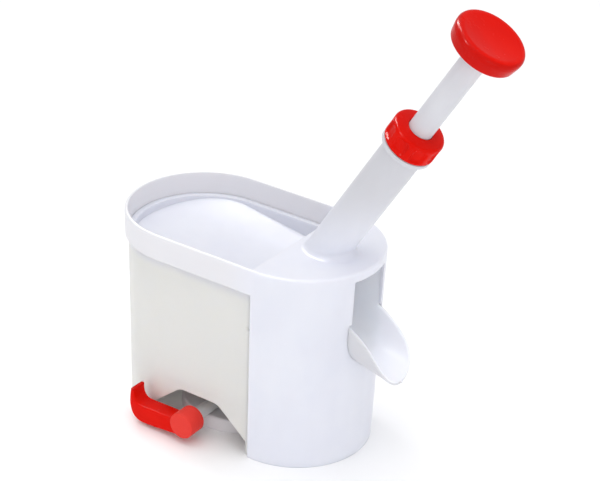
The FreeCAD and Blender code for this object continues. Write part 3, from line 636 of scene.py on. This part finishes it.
def swept_round(profile, line, steps, shrink=0.0):
    """Point = foot + distance along the line + radius times a direction that turns round it.
    The line is given as its foot, its direction and two directions square to it."""
    foot, ahead, across, side = line
    angle = np.linspace(0.0, 2.0 * math.pi, steps, endpoint=False)[:, None, None]
    direction = np.cos(angle) * across + np.sin(angle) * side
    radius = profile[None, :, :1] - np.expand_dims(shrink, -1)
    return foot + MM * (profile[None, :, 1:] * ahead + radius * direction)


print("profiles ready")

# %% [markdown]
# ## The plunger line
# Barrel, nut, rod, spring and knob share one leaning line. The frame's own press joint gives
# its direction, and the line passes through one point on the underside of the deck.

# %% The plunger line
press = next(joint for joint in frame["joints"] if joint["name"] == "plunger_press")
LINE = -unit(press["axis"])
LINE_FOOT = np.array([0.04425, 0.0, 0.1155])
ACROSS = np.cross(Y, LINE)
PLUNGER_LINE = (LINE_FOOT, LINE, ACROSS, Y)
print("the line leans", round(math.degrees(math.acos(LINE[2])), 2), "degrees")

# %% [markdown]
# ## The palm knob
# The knob is a red disc with a soft rim, a dished top that the palm rests in and sides that
# draw in a little towards the underside, which is hollow like any thick moulding. The dish
# is a parabola in the radius; everything else is one outline with rounded corners. The side of
# the rim is painted a deeper crimson than the top, a painted shade. The cross product with the
# line's direction gives each point's distance from the line.

# %% The palm knob
KNOB_RADIUS = 21.4
KNOB_LOW = 193.75
KNOB_HIGH = 204.6
KNOB_HOLLOW = 6.0
DISH_RADIUS = 17.8
DISH_DEPTH = 1.6
ROD_RADIUS = 7.5
ROD_HIGH = 200.0
ROD_GAP = 0.03
# Painted shade: the knob's side is painted a deeper crimson than its top.
KNOB_SIDE_SHADE = (0.56, 0.007, 0.004)
KNOB_SIDE_SHADE_FADE = (MM * (KNOB_RADIUS - 2.2), MM * (KNOB_RADIUS - 0.7))


def palm_knob():
    """Dish: height rises with the square of the radius. Then the rim, side and hollow."""
    r = np.linspace(0.0, DISH_RADIUS, 24)
    dish = np.stack([r, KNOB_HIGH - DISH_DEPTH * (1.0 - (r / DISH_RADIUS) ** 2)], axis=1)
    outline = rounded([
        (DISH_RADIUS, KNOB_HIGH, 0.0),
        (KNOB_RADIUS, KNOB_HIGH - 0.3, 2.8),
        (KNOB_RADIUS, KNOB_HIGH - 4.2, 1.2),
        (KNOB_RADIUS - 1.2, KNOB_LOW, 1.6),
        (KNOB_RADIUS - 4.4, KNOB_LOW, 0.5),
        (KNOB_RADIUS - 4.8, KNOB_LOW + KNOB_HOLLOW, 1.0),
        (ROD_RADIUS + 2.4, KNOB_LOW + KNOB_HOLLOW, 0.8),
        (ROD_RADIUS + 2.2, KNOB_LOW, 0.3),
        (ROD_RADIUS + ROD_GAP, KNOB_LOW, 0.2),
        (ROD_RADIUS + ROD_GAP, ROD_HIGH + 0.1, 0.0),
        (0.0, ROD_HIGH + 0.1, 0.0)], 7)
    return swept_round(np.concatenate([dish, outline[1:]]), PLUNGER_LINE, 128)


def knob_shaded_red():
    """The red recipe, sliding to a painted shade of crimson on the side, by the distance from the plunger line."""
    recipe = moulded_plastic("knob_shaded_red", *PLASTICS["red_plastic"])
    from_foot = recipe.vector("SUBTRACT", recipe.place, tuple(LINE_FOOT))[0]
    aside = recipe.vector("CROSS_PRODUCT", from_foot, tuple(LINE))[0]
    distance = recipe.vector("LENGTH", aside)["Value"]
    side_shade_mask = recipe.ramp(distance, *KNOB_SIDE_SHADE_FADE)
    recipe.set(Base_Color=recipe.mix(side_shade_mask, recipe.tone, KNOB_SIDE_SHADE))
    return recipe


knob = put_piece("palm_knob", palm_knob(), True, False, knob_shaded_red())
settle(knob, "plunger", "red_plastic", "plunger_knob")

# %% [markdown]
# ## The cap nut
# A red cap screws on the barrel and holds the plunger in. Its top is a shallow cone with a
# soft outer edge, and eight soft square dents at mid height give the fingers a grip. The
# outside is the same swept profile, but its radius shrinks inside each dent: the closer a
# point is to the middle of the nearest dent, the deeper it lies.

# %% The cap nut
NUT_RADIUS = 16.15
NUT_LOW = 115.55
NUT_HIGH = 129.45
NUT_BORE = 7.75
NUT_CAP = 3.2
THREAD_RADIUS = 12.75
DENTS = 8
DENT_WIDTH = 4.9
DENT_HEIGHT = 5.0
DENT_DEPTH = 1.7
DENT_MIDDLE = 121.9


def nut_profile():
    """The closed outline, with 34 more points on its straight side for the dents to bend."""
    outline = rounded([
        (NUT_RADIUS - 2.0, NUT_LOW, 0.0),
        (NUT_RADIUS, NUT_LOW, 1.2),
        (NUT_RADIUS, NUT_HIGH - 1.0, 2.2),
        (NUT_BORE, NUT_HIGH, 0.6),
        (NUT_BORE, NUT_HIGH - NUT_CAP, 0.2),
        (THREAD_RADIUS, NUT_HIGH - NUT_CAP, 0.3),
        (THREAD_RADIUS, NUT_LOW, 0.2),
        (NUT_RADIUS - 2.0, NUT_LOW, 0.0)], 6)
    rise = np.linspace(NUT_LOW + 1.2, NUT_HIGH - 3.0, 36)[1:-1]
    side = np.stack([np.full_like(rise, NUT_RADIUS), rise], axis=1)
    first_top = int(np.argmax(outline[:, 1] > NUT_HIGH - 3.6))
    return np.concatenate([outline[:first_top], side, outline[first_top:-1]])


def cap_nut(steps=256):
    """Swept outline; inside a rounded square of half sizes w and h the outer radius loses
    depth * (1 - (a / w) ** 4 - (b / h) ** 4), eased at its edge, where a and b are the ways
    round the nut and along it from the middle of the nearest dent."""
    profile = nut_profile()
    angle = np.linspace(0.0, 2.0 * math.pi, steps, endpoint=False)[:, None]
    sector = 2.0 * math.pi / DENTS
    round_way = ((angle + sector / 2.0) % sector - sector / 2.0) * NUT_RADIUS
    long_way = profile[None, :, 1] - DENT_MIDDLE
    inside = 1.0 - (round_way / DENT_WIDTH) ** 4 - (long_way / DENT_HEIGHT) ** 4
    inside = np.clip(inside, 0.0, 1.0)
    depth = DENT_DEPTH * inside * inside * (3.0 - 2.0 * inside)
    depth = np.where(profile[None, :, 0] > NUT_RADIUS - 0.5, depth, 0.0)
    return swept_round(profile, PLUNGER_LINE, steps, depth)


nut = put_piece("cap_nut", cap_nut(), True, True, plastics["red_plastic"])
settle(nut, "top", "red_plastic", "barrel_nut")

# %% [markdown]
# ## The rod
# The rod is a white tube with a closed top. A collar near its lower end stops it under the
# bush when the spring pushes it up. It is one outline from the top down, in through the open
# lower end and up the bore.

# %% The rod
ROD_LOW = 80.0
ROD_BORE = 5.5
ROD_CAP = 12.0
COLLAR_RADIUS = 10.34
COLLAR_LOW = 102.0
COLLAR_HIGH = 107.7


def plunger_rod():
    """Top, outside with the collar, and bore, as one outline swept round."""
    outline = rounded([
        (0.0, ROD_HIGH, 0.0),
        (ROD_RADIUS, ROD_HIGH, 0.6),
        (ROD_RADIUS, COLLAR_HIGH, 0.4),
        (COLLAR_RADIUS, COLLAR_HIGH, 0.5),
        (COLLAR_RADIUS, COLLAR_LOW, 0.5),
        (ROD_RADIUS, COLLAR_LOW, 0.3),
        (ROD_RADIUS, ROD_LOW, 0.5),
        (ROD_BORE, ROD_LOW, 0.4),
        (ROD_BORE, ROD_HIGH - ROD_CAP, 0.8),
        (0.0, ROD_HIGH - ROD_CAP, 0.0)], 4)
    return swept_round(outline, PLUNGER_LINE, 96)


rod = put_piece("hollow_rod", plunger_rod(), True, False, plastics["plunger_shaded_white"])
settle(rod, "plunger", "white_plastic", "plunger_rod")

# %% [markdown]
# ## The return spring
# The spring is one steel wire wound round the rod. Its middle line is a helix, and the wire's
# round section is carried along it in a frame made of the helix's own outward direction and
# the direction square to it and to the wire. Pressing the knob shortens the spring towards
# its lower seat.

# %% The return spring
WIRE_RADIUS = 0.6
SPRING_RADIUS = 9.0
SPRING_LOW = 11.8
SPRING_HIGH = 101.2
SPRING_TURNS = 14


def spring_wire(per_turn=28, sides=8):
    """Middle = foot + rise along the line + radius outwards; skin = middle plus the wire's
    radius times a direction that turns in the plane across the wire."""
    share = np.linspace(0.0, 1.0, SPRING_TURNS * per_turn + 1)[:, None]
    angle = 2.0 * math.pi * SPRING_TURNS * share
    outward = np.cos(angle) * ACROSS + np.sin(angle) * Y
    onward = -np.sin(angle) * ACROSS + np.cos(angle) * Y
    rise = (SPRING_HIGH - SPRING_LOW) / (2.0 * math.pi * SPRING_TURNS)
    along_wire = SPRING_RADIUS * onward + rise * LINE
    along_wire = along_wire / np.linalg.norm(along_wire, axis=1, keepdims=True)
    square = np.cross(along_wire, outward)
    distance = SPRING_LOW + (SPRING_HIGH - SPRING_LOW) * share
    middle = (distance * LINE + SPRING_RADIUS * outward)[:, None]
    turn = np.linspace(0.0, 2.0 * math.pi, sides, endpoint=False)[None, :, None]
    skin = middle + WIRE_RADIUS * (np.cos(turn) * outward[:, None] + np.sin(turn) * square[:, None])
    first, last = (np.repeat(middle[k:k + 1], sides, axis=1) for k in (0, len(middle) - 1))
    return LINE_FOOT + MM * np.concatenate([first, skin, last])


spring = put_piece("spring_wire", spring_wire(), False, True, steel)
settle(spring, "top", "steel", "return_spring")
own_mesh(spring)

# %% [markdown]
# ## The suction cup
# Under the foot, which is painted grey as a painted shade, a soft cup grips the table. Its skin
# runs out from a thick middle to a thin lip that lies flat, and three fine rings on the lip help
# it to seal. In the pictured state the lever holds its middle up. Turning the lever up lets the
# middle down, so the cup is squashed towards the table.

# %% The suction cup
CUP_X = -6.5
CUP_LINE = (MM * CUP_X * X, Z, X, Y)
CUP_RADIUS = 34.0
CUP_LIP_Z = 0.42
CUP_TOP_Z = 5.18
CUP_THICKNESS = 1.55
CUP_FLAT_RADIUS = 12.0
LIP_WIDTH = 5.0
LIP_EDGE = 0.3
RING_HEIGHT = 0.12
RING_SPACING = 1.5


def suction_cup():
    """Under side and upper side of the cup as one outline round an upright line; the lip's
    rings are half a ring's height times one minus the cosine of the way out."""
    lip_start = CUP_RADIUS - LIP_WIDTH
    r = np.linspace(CUP_FLAT_RADIUS, lip_start, 24)
    share = (r - CUP_FLAT_RADIUS) / (lip_start - CUP_FLAT_RADIUS)
    inner_top = CUP_TOP_Z - CUP_THICKNESS
    under = np.stack([r, inner_top - (inner_top - CUP_LIP_Z) * share], axis=1)
    r = np.linspace(lip_start, CUP_RADIUS - LIP_EDGE, 40)
    wave = 1.0 - np.cos(2.0 * math.pi * (r - lip_start) / RING_SPACING)
    lip = np.stack([r, CUP_LIP_Z + RING_HEIGHT * wave / 2.0], axis=1)
    upper = rounded([
        (CUP_RADIUS - LIP_EDGE, CUP_LIP_Z, 0.0),
        (CUP_RADIUS, CUP_LIP_Z + 0.5, 0.2),
        (CUP_RADIUS - 0.2, CUP_LIP_Z + 1.3, 0.3),
        (CUP_RADIUS - 4.0, CUP_LIP_Z + 1.8, 2.0),
        (CUP_FLAT_RADIUS + 0.5, CUP_TOP_Z, 2.0),
        (0.0, CUP_TOP_Z, 0.0)], 4)
    outline = np.concatenate([[(0.0, inner_top)], under, lip[1:], upper[1:]])
    return swept_round(outline, CUP_LINE, 128)


cup = put_piece("rubber_cup", suction_cup(), True, False, rubber)
settle(cup, "base", "soft_rubber", "suction_cup")
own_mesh(cup)

# %% [markdown]
# ## The fruit chute, slice by slice
# Pitted cherries roll out of the housing over a scoop. It begins inside as a passage with high
# walls, passes through the wall, swells a little where it leaves it, and ends in a round lip.
# Seen from the side its rim is one arc. The slices across it lie closer together towards the
# lip, where the rim dives, and the rim is taken half a wall inwards, because the slices are
# built from the middle of the wall.

# %% The slices of the chute
CHUTE_TALL = 1.0 / math.cos(math.radians(16.0))
CHUTE_MIDDLE_RADIUS = 17.0
CHUTE_HALF_WALL = 1.0
RIM_CENTRE_X = 56.06
RIM_CENTRE_Z = 43.63
RIM_REACH = 58.53 - CHUTE_HALF_WALL
CHUTE_START_X = 44.3
PASSAGE_X = 58.0
PASSAGE_END_X = 82.1
PASSAGE_MIDDLE_TOP = 124.0
TROUGH_TOP = 105.0
SWELL_X = 82.2
SWELL_LOW_X = 84.3
SWELL_HIGH_X = 80.0
SWELL_LENGTH = 15.0
SWELL_DROP = 7.7
SWELL_SIDE = 0.4
LIP_SEARCH = (105.0, 112.3)
LIP_CROWDING = 2.2
TINY = 0.001


def chute_axis_z(x):
    """The middle of the trough falls by the slope for each step outwards."""
    return CHUTE_AXIS_Z - CHUTE_SLOPE * (x - CHUTE_AXIS_X)


def chute_rim_z(x):
    """Height of a circle above its centre: root of radius squared less distance squared."""
    square = RIM_REACH ** 2 - (x - RIM_CENTRE_X) ** 2
    return RIM_CENTRE_Z + np.sqrt(np.maximum(square, 0.0))


def chute_slices():
    """Distances at which the chute is sliced, the share of the wall's thickness there, which
    is nothing at both ends, and the place of the lip, where the rim meets the bottom."""
    fine = np.linspace(*LIP_SEARCH, 4000)
    bottom = chute_axis_z(fine) - CHUTE_MIDDLE_RADIUS * CHUTE_TALL
    lip = fine[int(np.argmax(chute_rim_z(fine) < bottom))]
    inner = np.array([CHUTE_START_X, CHUTE_START_X, 50.0, PASSAGE_X - 0.01, PASSAGE_X, 66.0, 74.0,
                      SWELL_HIGH_X - 0.01, SWELL_HIGH_X, PASSAGE_END_X, PASSAGE_END_X + 0.05])
    crowd = 1.0 - (1.0 - np.linspace(0.0, 1.0, 90)) ** LIP_CROWDING
    outside = SWELL_X + (lip - TINY - SWELL_X) * crowd
    turn = np.linspace(0.0, math.pi / 2.0, 8)[1:]
    x = np.concatenate([inner, outside, lip + CHUTE_HALF_WALL * np.sin(turn)])
    thick = np.concatenate([[0.0], np.ones(len(inner) - 1 + len(outside)), np.cos(turn)])
    return x, thick, lip


print("chute slices", len(chute_slices()[0]), "lip at", round(chute_slices()[2], 2), "mm")

# %% [markdown]
# ## The fruit chute's wall
# Every slice across the chute is a U of even thickness, so one rule makes the whole moulding:
# take the middle line of the U, step half the wall to both sides and go round both ends in
# half circles. The length of the U follows the rim and shrinks to nothing at the lip. The
# swelling is a push on the outer side only, so the trough stays smooth for the fruit.

# %% The wall of the chute
SCOOP_SHARE = 0.75
SWELL_POWER = 15


def u_middle(x, lip, samples=81):
    """Middle line of each U, with its tangent, for s from -1 to 1. The way along it is s times
    the length below the rim for three quarters of the samples, and runs up the high wall of
    the passage for the rest. Up to a quarter circle it turns, beyond that it rises."""
    top = chute_rim_z(np.minimum(x, lip - TINY))
    top = np.where(x <= PASSAGE_END_X, PASSAGE_MIDDLE_TOP, top)
    top = np.where(x < PASSAGE_X, TROUGH_TOP, top)
    rim = np.minimum(top, chute_rim_z(SWELL_X))
    axis = chute_axis_z(x)
    tall = CHUTE_MIDDLE_RADIUS * CHUTE_TALL
    end_turn = np.arccos(np.clip((axis - rim) / tall, 0.0, 1.0))
    length = CHUTE_MIDDLE_RADIUS * end_turn + np.maximum(rim - axis, 0.0)
    length = np.where(x > lip, 0.0, length)
    s = np.linspace(-1.0, 1.0, samples)
    low = np.minimum(np.abs(s) / SCOOP_SHARE, 1.0)[None, :]
    high = np.maximum((np.abs(s) - SCOOP_SHARE) / (1.0 - SCOOP_SHARE), 0.0)[None, :]
    way = low * length[:, None] + high * (top - rim)[:, None]
    side = np.where(s < 0.0, -1.0, 1.0)[None, :]
    quarter = CHUTE_MIDDLE_RADIUS * math.pi / 2.0
    turn = np.minimum(way, quarter) / CHUTE_MIDDLE_RADIUS
    y = side * CHUTE_MIDDLE_RADIUS * np.sin(turn)
    z = axis[:, None] - tall * np.cos(turn) + np.maximum(way - quarter, 0.0)
    slant = np.stack([CHUTE_MIDDLE_RADIUS * np.cos(turn), tall * np.sin(turn)])
    tangent = slant / np.hypot(slant[0], slant[1])
    return np.stack([y, z]), tangent, side, turn


def fruit_chute(cap=6):
    """Outer side = middle + half the wall along the normal + the swelling, inner side = middle
    less half the wall, and each round end is a half circle between the two. The swelling fades
    with the square of the way out. Under the trough it goes with a high power of the cosine,
    and starts inside the thickness of the housing's wall."""
    x, thick, lip = chute_slices()
    middle, tangent, side, turn = u_middle(x, lip)
    normal = np.stack([side * tangent[1], -tangent[0]])
    onward = np.stack([side * tangent[0], tangent[1]])
    fade = np.clip(1.0 - (x - SWELL_X) / SWELL_LENGTH, 0.0, 1.0) ** 2
    aside = (fade * (x >= SWELL_HIGH_X))[:, None] * side * SWELL_SIDE * np.sin(turn)
    down = (fade * (x >= SWELL_LOW_X))[:, None] * SWELL_DROP * np.cos(turn) ** SWELL_POWER
    swell = np.stack([aside, -down])
    half = CHUTE_HALF_WALL * thick[:, None]
    outer = middle + half * normal + swell
    inner = middle - half * normal

    def round_end(pick, angles):
        """Half circle from the outer side to the inner side round one end of the U."""
        c, k = np.cos(angles), np.sin(angles)
        arc = half * (c * normal[:, :, pick] + k * onward[:, :, pick])
        return middle[:, :, pick] + arc + (1.0 + c) / 2.0 * swell[:, :, pick]

    angles = np.linspace(0.0, math.pi, cap + 2)[1:-1]
    right = round_end(slice(-1, None), angles)
    left = round_end(slice(0, 1), angles[::-1])
    y, z = np.concatenate([outer, right, inner[:, :, ::-1], left], axis=2)
    return MM * np.stack([np.broadcast_to(x[:, None], y.shape), y, z], axis=-1)


chute = put_piece("fruit_chute", fruit_chute(), False, True, chute_lit_white, 50.0)
settle(chute, "top", "white_plastic", "outlet_chute")

# %% [markdown]
# ## The arm of the suction lever
# The red lever is an arm with a tab that turns up at its end, moulded to a round hub on the
# shaft. The arm is a sweep: two smooth lines give its lower and its upper edge, and a
# rectangle with rounded corners is stretched between them at every step. Its front lies a
# little behind the hub's.

# %% The arm of the suction lever
ARM_FRONT_Y = -61.2
LEVER_BACK_Y = -50.05
ARM_CORNER = 1.0
ARM_LOWER = [(-4.0, 5.0), (-20.0, 3.5), (-34.0, 2.3), (-41.2, 2.7), (-45.9, 6.0), (-48.1, 12.5),
             (-48.2, 18.5), (-47.6, 24.0)]
ARM_UPPER = [(-4.0, 15.0), (-20.0, 14.9), (-33.0, 14.6), (-38.9, 14.5), (-42.2, 15.4),
             (-44.2, 17.6), (-44.9, 20.6), (-45.0, 24.0)]
QUADRANTS_A = (1.0, -1.0, -1.0, 1.0)
QUADRANTS_B = (1.0, 1.0, -1.0, -1.0)


def smooth_line(corners, steps):
    """A curve through all corners: between two of them, the four nearest are weighed with the
    cubic weights that also give each corner the direction from its last to its next one."""
    p = np.array(corners, float)
    p = np.concatenate([2.0 * p[:1] - p[1:2], p, 2.0 * p[-1:] - p[-2:-1]])
    place = np.linspace(0.0, len(corners) - 1.000001, steps)
    k = place.astype(int)
    t = (place - k)[:, None]
    a, b, c, d = p[k], p[k + 1], p[k + 2], p[k + 3]
    line = 2.0 * b + (c - a) * t
    line = line + (2.0 * a - 5.0 * b + 4.0 * c - d) * t ** 2
    return 0.5 * (line + (3.0 * b - a - 3.0 * c + d) * t ** 3)


def arm_sections(steps):
    """For each section: the number of its step, how far the rectangle draws in, and how far
    it is pushed along the arm. Six sections at each end draw in along a quarter circle. The
    full rectangle is kept at the very tip, so it stands as a fine rim round the drawn-in end."""
    ease = np.linspace(0.0, math.pi / 2.0, 5)
    last = steps - 1
    number = np.concatenate([[0] * 6, np.arange(1, last), [last] * 6])
    plain = np.zeros(steps - 2)
    start_draw, end_draw = 1.0 - np.sin(ease), 1.0 - np.cos(ease)
    start_push, end_push = 1.0 - np.cos(ease), np.sin(ease) - 1.0
    end_push[0] = 0.0
    draw = np.concatenate([[1.0], start_draw, plain, end_draw, [1.0]])
    push = np.concatenate([[0.0], start_push, plain, end_push, [0.0]])
    return number, ARM_CORNER * draw, ARM_CORNER * push


def lever_arm(steps=70, around=6):
    """Point = middle between both lines + a rounded rectangle that spans them. The rectangle's
    corner is a quarter circle, moved out to the corner of each quadrant. Both ends close on a
    line."""
    number, draw, push = arm_sections(steps)
    low = smooth_line(ARM_LOWER, steps)[number]
    high = smooth_line(ARM_UPPER, steps)[number]
    half = np.linalg.norm(high - low, axis=1, keepdims=True) / 2.0
    up = (high - low) / (2.0 * half)
    ahead = np.stack([-up[:, 1], up[:, 0]], axis=1)
    middle = (low + high) / 2.0 + ahead * push[:, None]
    tall = np.maximum(half - draw[:, None], 0.0)
    tall[[0, -1]] = 0.0
    deep = (LEVER_BACK_Y - ARM_FRONT_Y) / 2.0 - draw[:, None]
    quarter = np.linspace(0.0, math.pi / 2.0, around)
    angle = np.concatenate([quarter + k * math.pi / 2.0 for k in range(4)])[None, :]
    radius = np.minimum(ARM_CORNER, tall)
    a = np.repeat(QUADRANTS_A, around) * (tall - radius) + radius * np.cos(angle)
    b = np.repeat(QUADRANTS_B, around) * (deep - ARM_CORNER) + ARM_CORNER * np.sin(angle)
    x = middle[:, :1] + up[:, :1] * a
    z = middle[:, 1:] + up[:, 1:] * a
    y = (LEVER_BACK_Y + ARM_FRONT_Y) / 2.0 + b
    return MM * np.stack([x, y, z], axis=-1)


arm = put_piece("lever_arm", lever_arm(), False, True, plastics["red_plastic"], 50.0)
settle(arm, "lever", "red_plastic", "suction_lever")

# %% [markdown]
# ## The hub of the suction lever
# The hub is a short drum round the shaft. Its face is duller than the arm, and painted
# lighter, a painted light. It is a piece of its own, because one object with two finishes would
# need a seam drawn across a curved joint.

# %% The hub of the suction lever
SHAFT_X = -6.5
SHAFT_Z = 13.2
SHAFT_LINE = (MM * (SHAFT_X * X + SHAFT_Z * Z), Y, X, Z)
HUB_RADIUS = 8.55
HUB_FRONT_Y = -62.95
HUB_CROWN = 0.25


def lever_hub():
    """A slightly crowned face, whose depth grows with the square of the radius, then a
    rounded edge and a plain side."""
    r = np.linspace(0.0, HUB_RADIUS - 1.0, 10)
    face = np.stack([r, HUB_FRONT_Y + HUB_CROWN * (r / HUB_RADIUS) ** 2], axis=1)
    edge = rounded([
        (HUB_RADIUS - 1.0, HUB_FRONT_Y + 0.2, 0.0),
        (HUB_RADIUS, HUB_FRONT_Y + HUB_CROWN, 0.6),
        (HUB_RADIUS, LEVER_BACK_Y, 0.5),
        (0.0, LEVER_BACK_Y, 0.0)], 5)
    return swept_round(np.concatenate([face, edge[1:]]), SHAFT_LINE, 96)


hub = put_piece("lever_hub", lever_hub(), True, False, plastics["hub_lit_red"])
settle(hub, "lever", "red_plastic")
